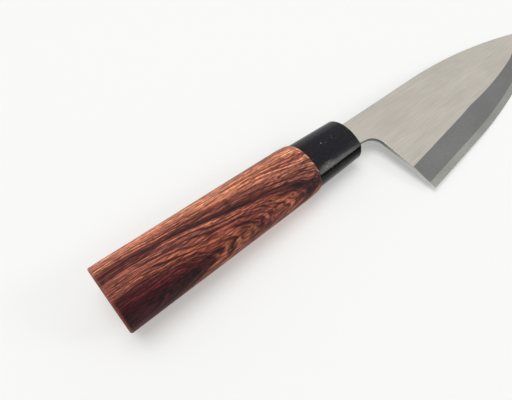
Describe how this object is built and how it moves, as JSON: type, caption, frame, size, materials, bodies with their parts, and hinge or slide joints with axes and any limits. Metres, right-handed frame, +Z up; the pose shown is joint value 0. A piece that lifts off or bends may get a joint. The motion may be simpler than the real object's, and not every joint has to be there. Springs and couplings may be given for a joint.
{
  "type": "deba knife",
  "caption": "Heavy single-bevel Japanese fish knife with a laminated steel blade, an oval wooden handle and a black ferrule, lying bevel side up.",
  "frame": {"origin": "middle of the bounding box's footprint, on the table the knife lies on", "axes": "+X along the knife towards the tip, +Y towards the spine, +Z up from the table, to the bevelled side of the blade"},
  "size_m": [0.2987, 0.0603, 0.0253],
  "materials": {
    "soft_iron": "fine satin brushing along the blade, stone-ground matte bevel",
    "hard_steel": "stone-ground, slightly brighter than the soft iron of the bevel",
    "rosewood": "oiled, satin, dark streaks along the grain",
    "black_ferrule": "satin black",
    "resin": "dull dark brown"
  },
  "bodies": {
    "root": {"blade_body": "soft_iron", "hard_steel_layer": "hard_steel", "handle_wood": "rosewood", "ferrule": "black_ferrule", "tang_resin": "resin"}
  },
  "joints": []
}
